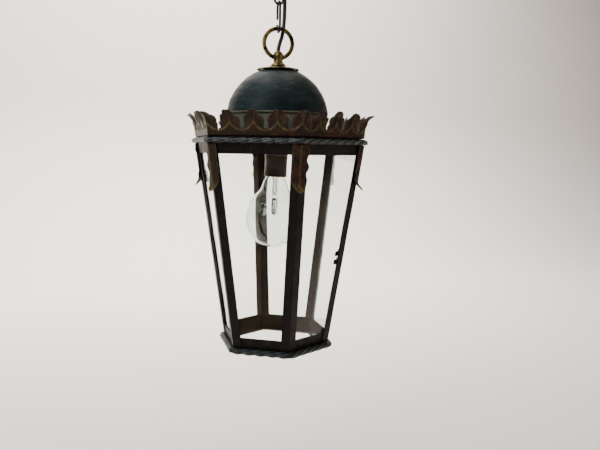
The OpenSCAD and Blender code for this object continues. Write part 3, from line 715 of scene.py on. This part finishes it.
def dropLeafPiece(k):
    chance = random.Random(900 + k)
    curl = dropLeaf["curl"] * chance.uniform(0.75, 1.1)
    length = dropLeaf["length"] * chance.uniform(0.96, 1.0)
    sway = chance.uniform(-1.5, 1.5)
    ruffle = [chance.uniform(0.4, 1.6) for _ in range(6)]
    widths = [chance.uniform(0.84, 0.92), chance.uniform(0.9, 0.98)]
    rows = dropLeaf["rows"]
    bm = bmesh.new()
    wearAndHighlight = bm.verts.layers.float.new("wearAndHighlight")
    made = bmesh.ops.create_grid(
        bm, x_segments=dropLeaf["columns"], y_segments=len(rows) - 1, size=0.5)["verts"]
    for vert in made:
        u = 2 * vert.co.x
        v = rows[round((0.5 - vert.co.y) * (len(rows) - 1))]
        x = u * between(dropLeaf["outline"], v) * (widths[0] if u < 0 else widths[1])
        opened = ease(0.72, 1, v)
        bend = halfBend + opened * (math.radians(dropLeaf["openBend"]) - halfBend)
        lobes = ruffle[3:] if u > 0 else ruffle[:3]
        waves = [(0, 0.3), (0.16, lobes[0]), (0.31, 0.2), (0.46, lobes[1]), (0.6, 0.2), (0.74, lobes[2]),
                 (0.9, 0.3)]
        keel = math.exp(-(x / 1.2) ** 2)
        lift = 0.6 + dropLeaf["ruffle"] * between(waves, v) * (abs(u) ** 2.5) * (1 - 0.4 * opened)
        lift += dropLeaf["keel"] * keel * (1 - 0.6 * opened)
        for ridge in dropLeaf["ridges"]:
            beside = abs(x) - ridge * (1 - 0.45 * v)
            lift += dropLeaf["ridgeHeight"] * math.exp(-beside ** 2) * ease(0.02, 0.2, v)
        vein = math.exp(-(((v * 3.2 + 0.7 * abs(u)) % 1 - 0.5) / 0.17) ** 2)
        lift += dropLeaf["veinHeight"] * vein * ease(0.08, 0.35, abs(u)) * (1 - 0.6 * abs(u))
        lift += dropLeaf["dimple"] * noise.noise(Vector((x / 7, v * 9, 3.3 * k)))
        away = 1.25 * curl * ease(0.74, 1.06, v) ** 1.5
        droop = v * length - 1.5 * opened
        flatX = -abs(x) * math.cos(bend) + lift * math.sin(bend) + away
        flatY = x * math.sin(bend) + math.copysign(lift * math.cos(bend), x) * (abs(u) > 0.01)
        vert.co = (flatX, flatY + sway * ease(0.6, 1, v), -droop)
        rim = 0.35 * ease(0.85, 1, abs(u)) + 0.45 * ease(0.78, 0.92, v) + 0.4 * ease(0.94, 1, v)
        vert[wearAndHighlight] = min(1, rim + 0.3 * keel)
    piece = addPiece(
        bm, f"post_leaf_{k}", leafRust, "lantern", [f"leaf_{k}"],
        alongPost(k, dropLeaf["top"]), 60)
    addModifier(piece, "SOLIDIFY", thickness=dropLeaf["thickness"] * 0.001, offset=0)
    addModifier(piece, "SUBSURF", levels=1, render_levels=1)


for corner in range(1, 7):
    dropLeafPiece(corner)
print("post leaves pressed")


# Posts: sheet iron folded along the arris, edges cut by hand
post = {
    "top": -4.1,
    "foot": -330.7,
    "leg": 14.0,
    "sheet": 1.5,
    "stations": 40,
    "dent": 0.3,
    "ragged": 0.03,  # how unevenly the edges are cut, as a share of the leg
}


def postPiece(k):
    bm = bmesh.new()
    outX, outY = -math.cos(halfBend), math.sin(halfBend)
    inX, inY = -math.sin(halfBend) * post["sheet"], -math.cos(halfBend) * post["sheet"]
    section = []
    for share in (1, 0.66, 0.33):
        section.append((outX * post["leg"] * share, outY * post["leg"] * share))
    section.append((0, 0))
    section += [(x, -y) for x, y in reversed(section[:3])]
    section += [(x + inX, y - inY) for x, y in section[-1:]]
    section.append((-post["sheet"] / math.sin(halfBend), 0))
    section.append((outX * post["leg"] + inX, outY * post["leg"] + inY))
    verts = [bm.verts.new((x, y, 0)) for x, y in section]
    edges = [bm.edges.new((a, b)) for a, b in zip(verts, verts[1:] + verts[:1])]
    length = (post["top"] - post["foot"]) / math.cos(postLean)
    count = post["stations"]
    sweep(bm, edges, [Matrix.Translation((0, 0, -length * n / count)) for n in range(count + 1)])
    for vert in bm.verts:
        edge = abs(vert.co.y) / (post["leg"] * outY)
        sideSheen = noise.noise(Vector((vert.co.z / 16, 7 * k + (3 if vert.co.y > 0 else 0), 0)))
        dent = noise.noise(Vector((vert.co.z / 40, 9 * k, vert.co.y / 8)))
        vert.co.y *= 1 + post["ragged"] * sideSheen * ease(0.7, 1, edge)
        vert.co.x += post["dent"] * dent
    piece = addPiece(
        bm, f"post_angle_{k}", frameIron, "lantern", [f"post_{k}"],
        alongPost(k, post["top"]), 30)
    addModifier(
        piece, "BEVEL", width=0.0003, segments=2, limit_method="ANGLE", angle_limit=math.radians(35))


for corner in range(1, 7):
    postPiece(corner)
print("posts folded")


# Dome: spun half ball of thin sheet, gently dented
dome = {
    "radius": 84.0,
    "centre": 36.5,
    "rim": 47.0,
    "wall": 1.3,
    "hole": 5.3,
    "steps": 128,
    "rings": 32,
    "dents": ((26, 0.45), (9, 0.2)),  # width and depth
}


def domePiece():
    outer, inner = [], []
    first = math.asin(dome["hole"] / dome["radius"])
    last = math.acos((dome["rim"] - dome["centre"]) / dome["radius"])
    for n in range(dome["rings"] + 1):
        polar = first + (last - first) * n / dome["rings"]
        for wall, radius in ((outer, dome["radius"]), (inner, dome["radius"] - dome["wall"])):
            wall.append((radius * math.sin(polar), dome["centre"] + radius * math.cos(polar)))
    bm = spun(outer + inner[::-1], dome["steps"])
    for vert in bm.verts:
        away = (vert.co - Vector((0, 0, dome["centre"]))).normalized()
        low = ease(dome["rim"], dome["rim"] + 6, vert.co.z)
        dents = sum(depth * noise.noise(vert.co / width) for width, depth in dome["dents"])
        vert.co += away * low * (dents - 0.35)
    addPiece(bm, "dome_shell", domePaint, "lantern", ["dome"], angle=45)


domePiece()


# Disc: pressed brass, dished over the dome, with a beaded edge
disc = {
    "top": 121.7,
    "curve": 141.0,
    "sheet": 0.9,
    "rows": [5.2, 9, 13, 17, 20, 22, 24, 26, 28, 29.8, 31.2, 32.6, 33.8, 34.4],  # from the hole to the edge
    "step": 0.3,
    "ridgeHeight": 0.5,
    "beads": 48,
    "beadHeight": 0.9,
    "fluteDepth": 0.25,
}


def discPiece():
    def height(r):
        dish = disc["top"] - disc["curve"] + math.sqrt(disc["curve"] ** 2 - r * r)
        ridge = disc["ridgeHeight"] * math.exp(-((r - 24) / 1.2) ** 2)
        return dish - disc["step"] * ease(12, 15, r) + ridge

    upper = [(r, height(r)) for r in disc["rows"]]
    lower = [(r, z - disc["sheet"]) for r, z in upper]
    bm = spun(upper + lower[::-1], disc["beads"] * 6)
    for vert in bm.verts:
        flat = math.hypot(vert.co.x, vert.co.y)
        around = math.atan2(vert.co.y, vert.co.x) * disc["beads"]
        edge = ease(29, 31.6, flat)
        bead = 0.5 + 0.5 * math.cos(around)
        vert.co.z += edge * (disc["beadHeight"] * bead - 0.5)
        grow = 1 + edge * 0.012 * (bead - 0.4) * ease(32.4, 34.2, flat)
        vert.co.x *= grow
        vert.co.y *= grow
        flute = ease(13, 16, flat) * (1 - ease(24, 28, flat))
        vert.co.z += disc["fluteDepth"] * flute * math.cos(around / 2)
    addPiece(bm, "crown_rosette", discBrass, "lantern", ["crown_disc"], angle=50)


discPiece()


# Ring and finial: one casting, so its parts run into each other
loop = {
    "height": 158.9,
    "radius": 23.5,
    "wire": 3.45,
    "steps": 96,
    "grain": 0.45,
    "waver": 0.12,
    # radius of the finial, and height over the disc
    "finial": [(0.01, 0), (12.6, 0), (13.0, 1.0), (12.7, 2.2), (11.6, 3.4), (10.0, 4.6), (8.4, 6.0),
               (7.5, 7.6), (7.2, 9.4), (7.6, 10.4), (7.6, 11.6), (7.9, 13.6), (8.3, 16.6), (8.1, 19.2),
               (7.2, 21.6), (5.6, 23.6), (3.6, 24.6), (0.01, 24.9)],
}


def loopPiece():
    foot = disc["top"] + 0.1
    bm = spun([(r, foot + rise) for r, rise in loop["finial"]], 48, loop=False)
    bmesh.ops.holes_fill(bm, edges=bm.edges)
    ring = bmesh.new()
    made = bmesh.ops.create_circle(ring, segments=20, radius=loop["wire"])["verts"]
    bmesh.ops.rotate(ring, verts=made, matrix=Matrix.Rotation(math.pi / 2, 3, "X"))
    bmesh.ops.translate(ring, verts=made, vec=(loop["radius"], 0, 0))
    bmesh.ops.rotate(ring, verts=made, matrix=Matrix.Rotation(math.pi / 2, 3, "X"))
    bmesh.ops.spin(
        ring, geom=ring.verts[:] + ring.edges[:], axis=(0, 1, 0), cent=(0, 0, 0), angle=2 * math.pi,
        steps=loop["steps"], use_merge=True)
    bmesh.ops.remove_doubles(ring, verts=ring.verts, dist=0.001)
    bmesh.ops.translate(ring, verts=ring.verts, vec=(0, 0, loop["height"]))
    for vert in ring.verts:
        vert.co += loop["waver"] * noise.noise_vector(vert.co / 7)
    scrap = bpy.data.meshes.new("scrap")
    bmesh.ops.recalc_face_normals(ring, faces=ring.faces)
    ring.to_mesh(scrap)
    ring.free()
    bm.from_mesh(scrap)
    bpy.data.meshes.remove(scrap)
    piece = addPiece(bm, "cast_ring", castBrass, "lantern", ["hanging_loop"], angle=70)
    addModifier(piece, "REMESH", mode="VOXEL", voxel_size=loop["grain"] * 0.001, use_smooth_shade=True)
    addModifier(piece, "SMOOTH", factor=0.5, iterations=4)


loopPiece()
print("dome, disc and ring made")


# The lamp hangs a little askew
lamp = {
    "tilt": 2.0,
    "bearing": 166.0,
    "mouth": -57.5,
    # sleeve's lip: radius, and height over the mouth
    "sleeveLip": [(18.0, 1.2), (18.6, 1.0), (18.95, 1.4), (18.9, 3), (18.5, 4)],
    # rest of the sleeve: radius, and height over the frame's top edge
    "sleeveBody": [(18.5, -28), (18.9, -26.6), (19.0, -25), (19.0, -22.4), (18.0, -22.4), (17.7, -28),
                   (17.7, -53.5)],
}
askew = (
    Matrix.Rotation(math.radians(lamp["bearing"] - 180), 4, "Z")
    @ Matrix.Rotation(math.radians(lamp["tilt"]), 4, "Y"))


# Bulb: profiles are (radius, height) rows, and a wire is its radius and its points
bulb = {
    "wall": 0.8,
    "globe": 47.5,
    "centre": -128.5,
    "neck": [(12.7, -52.2), (13.4, -55.5), (14.8, -58.8), (17.2, -61.6), (19.1, -64.6), (20.2, -68),
             (21.4, -72.6), (23, -76.8), (25.4, -81), (28.8, -85), (32.8, -89), (36.8, -93.4), (40.3, -98),
             (43.2, -103.2)],
    "steps": 96,
    "stem": [(11.4, -52.6), (9.2, -54.2), (6.4, -57), (4.6, -61), (3.9, -66), (3.7, -74), (3.6, -80),
             (3.3, -84), (2.4, -87.5), (1.0, -88.8), (0.0, -89), (0.0, -86.8), (1.6, -84), (2.5, -80),
             (2.8, -74), (3.1, -66), (3.8, -61.4), (5.8, -57.8), (8.8, -55), (11.4, -53.4)],
    "capsule": [(0.0, -93.4), (2.6, -93.4), (3.8, -94.4), (4.4, -97), (4.5, -101), (4.5, -112),
                (4.2, -116), (3.2, -119.2), (1.6, -121), (0.7, -122), (0.0, -122.6), (0.0, -121.2),
                (1.2, -120), (2.6, -118), (3.5, -115.4), (3.7, -112), (3.7, -101), (3.5, -98),
                (2.8, -95.6), (0.0, -95.2)],
    "wires": {
        "lead_left": (0.35, [(-1.6, 0, -60), (-1.8, 0, -78), (-2.0, 0, -88), (-2.6, 0.3, -91),
                             (-1.4, 0, -95), (-1.2, 0, -99)]),
        "lead_right": (0.35, [(1.6, 0, -60), (1.8, 0, -78), (2.4, 0, -88), (5.2, 0, -92), (5.6, 0, -104),
                              (5.4, 0, -118), (3.4, 0, -123.2), (0.4, 0, -122.8)]),
        "filament_foil_top": (0.9, [(0, 0, -94.6), (0, 0, -97.4)]),
        "filament_foil_low": (0.9, [(0, 0, -112.8), (0, 0, -114.4)]),
        "filament_wire": (0.3, [(-1.2, 0, -99), (-0.4, 0.5, -104), (0.4, -0.5, -108), (0, 0, -113)]),
    },
}


def sleevePiece():
    lip = [(r, lamp["mouth"] + rise) for r, rise in lamp["sleeveLip"]]
    bm = spun(lip + lamp["sleeveBody"], 96)
    addPiece(bm, "holder_tube", holderBronze, "lantern", ["holder_sleeve"], askew, 40)


def globePiece():
    outer = list(bulb["neck"])
    reach, centre, wall = bulb["globe"], bulb["centre"], bulb["wall"]
    for n in range(37):
        angle = math.radians(27 - 117 * n / 36)
        outer.append((max(0.0, reach * math.cos(angle)), centre + reach * math.sin(angle)))
    inner = []
    for n, (r, z) in enumerate(outer):
        before, after = outer[max(n - 1, 0)], outer[min(n + 1, len(outer) - 1)]
        run = Vector((after[0] - before[0], after[1] - before[1])).normalized()
        inner.append((max(0.0, r + run.y * wall), z - run.x * wall if n < len(outer) - 1 else z + wall))
    bm = spun(outer + inner[::-1], bulb["steps"])
    bmesh.ops.dissolve_degenerate(bm, dist=0.001, edges=bm.edges)
    addPiece(bm, "bulb_globe", bulbGlass, "bulb", ["bulb_glass"], askew, 60)


# What stands inside the globe: the stem, pinched flat where the wires pass through, and the capsule
def mountPieces():
    stem = spun(bulb["stem"], 40)
    for vert in stem.verts:
        pinch = ease(-74, -86, vert.co.z)
        vert.co.y *= 1 - 0.55 * pinch
        vert.co.x *= 1 + 0.35 * pinch
    addPiece(stem, "bulb_mount", bulbGlass, "bulb", ["bulb_stem"], askew, 60)
    capsule = spun(bulb["capsule"], 32)
    addPiece(capsule, "lamp_capsule", bulbGlass, "bulb", ["bulb_capsule"], askew, 60)
    for name, (radius, points) in bulb["wires"].items():
        wire = sweptBar(smoothLine(points, 5), 8, lambda angle: radius)
        addPiece(wire, name, leadNickel, "bulb", place=askew, merge=0, angle=50)


sleevePiece()
globePiece()
mountPieces()
print("lamp made")


# Every CAD piece that stays gets its own finish
finishes = {
    frameIron: ["top_rail", "bottom_rail", "glass_clips", "ceiling_cup", "deck_plate"],
    chainIron: ["chain_link", "hook_link", "ceiling_hook"],
    drumMetal: ["drum", "dome_rim"],
    leafRust: ["rivets"],
    turnedBrass: ["threaded_tube", "tube_nuts", "earth_tag", "cup_nut", "holder_shell", "centre_contact"],
    holderBronze: ["holder_cap"],
    mouthCopper: ["holder_ring"],
    bracketZinc: ["ceiling_bracket"],
    capBrass: ["bulb_cap"],
    porcelain: ["holder_core", "terminal_block"],
    flexPvc: ["flex_tail"],
    bushRubber: ["flex_grommet"],
    paneGlass: [f"pane_{k}" for k in range(1, 7)],
}
for finish, names in finishes.items():
    for name in names:
        for materialSlot in nodes[name].material_slots:
            materialSlot.material = finish
print("finishes set")


# Studio: pale floor that curves up behind, a far wall, one large soft light and three weaker ones.
# A light is its place, size, power, colour, where it aims, and how wide it spreads.
studio = {
    "floor": -0.86,
    "back": 1.5,
    "bend": 0.8,
    "bendSteps": 12,
    "width": 10,
    "height": 3,
    "colour": "#eee8e2",
    "wall": 4.9,
    "wallHeight": 6,
    "wallColour": "#f2eeea",
    "wallGlow": 0.62,
    "lights": {
        "key": ((-1.5, -0.9, 0.75), 1.3, 20, "#eef3ff", (0, 0, -0.3), 180),
        "fill": ((1.6, -1.0, 0.0), 1.4, 4, "#ffe0cc", (0, 0, -0.35), 180),
        "top": ((-0.3, -0.2, 1.4), 1.2, 4, "#e8f2ff", (0, 0, -0.3), 180),
        "backdrop": ((0, 1.2, 2.4), 2.2, 150, "#fffaf5", (0, 2.4, -0.4), 110),  # kept off the lantern
    },
    "world": 0.21,
    "worldColour": "#efece8",
}


def addStage(bm, name, shader, smooth=False):
    mesh = bpy.data.meshes.new(name)
    bm.to_mesh(mesh)
    bm.free()
    mesh.polygons.foreach_set("use_smooth", [smooth] * len(mesh.polygons))
    mesh.materials.append(startMaterial(name, shader)[0])
    backing = bpy.data.objects.new(name, mesh)
    bpy.context.scene.collection.objects.link(backing)
    return backing


# Draws the edges out to one side as faces
def drawOut(bm, vec):
    made = bmesh.ops.extrude_edge_only(bm, edges=bm.edges[:])["geom"]
    bmesh.ops.translate(bm, vec=vec, verts=[part for part in made if isinstance(part, bmesh.types.BMVert)])


def addSweep():  # studio paper: pale and matt
    bm = bmesh.new()
    bend, steps = studio["bend"], studio["bendSteps"]
    profile = [(-studio["wall"], studio["floor"])]
    for n in range(steps + 1):
        angle = math.pi / 2 * n / steps
        profile.append(
            (studio["back"] + bend * math.sin(angle), studio["floor"] + bend * (1 - math.cos(angle))))
    profile.append((studio["back"] + bend, studio["height"]))
    verts = [bm.verts.new((-studio["width"] / 2, y, z)) for y, z in profile]
    for pair in zip(verts, verts[1:]):
        bm.edges.new(pair)
    drawOut(bm, (studio["width"], 0, 0))
    addStage(bm, "studio_sweep", {"Base Color": srgb(studio["colour"]), "Roughness": 0.9}, smooth=True)


def addWall():  # far and pale all round: seen by the eye and through glass, but it throws no light
    bm = bmesh.new()
    bmesh.ops.create_circle(bm, segments=64, radius=studio["wall"])
    bmesh.ops.translate(bm, vec=(0, 0, studio["floor"] - 0.5), verts=bm.verts)
    drawOut(bm, (0, 0, studio["wallHeight"]))
    wall = addStage(bm, "studio_wall", {
        "Base Color": srgb("#000000"), "Roughness": 1.0, "Specular IOR Level": 0,
        "Emission Color": srgb(studio["wallColour"]), "Emission Strength": studio["wallGlow"]})
    wall.visible_diffuse = wall.visible_glossy = wall.visible_shadow = False


def addLights():
    for name, (place, size, power, colour, target, spread) in studio["lights"].items():
        data = bpy.data.lights.new(name, "AREA")
        data.shape = "DISK"
        data.size = size
        data.energy = power
        data.color = srgb(colour)[:3]
        data.spread = math.radians(spread)
        light = bpy.data.objects.new(name, data)
        aim = Vector(target) - Vector(place)
        light.matrix_world = Matrix.Translation(place) @ aim.to_track_quat("-Z", "Y").to_matrix().to_4x4()
        bpy.context.scene.collection.objects.link(light)
    world = bpy.data.worlds.new("studio")
    world.use_nodes = True
    backing = world.node_tree.nodes["Background"]
    backing.inputs["Color"].default_value = srgb(studio["worldColour"])
    backing.inputs["Strength"].default_value = studio["world"]
    bpy.context.scene.world = world


addSweep()
addWall()
addLights()
print("studio lit")
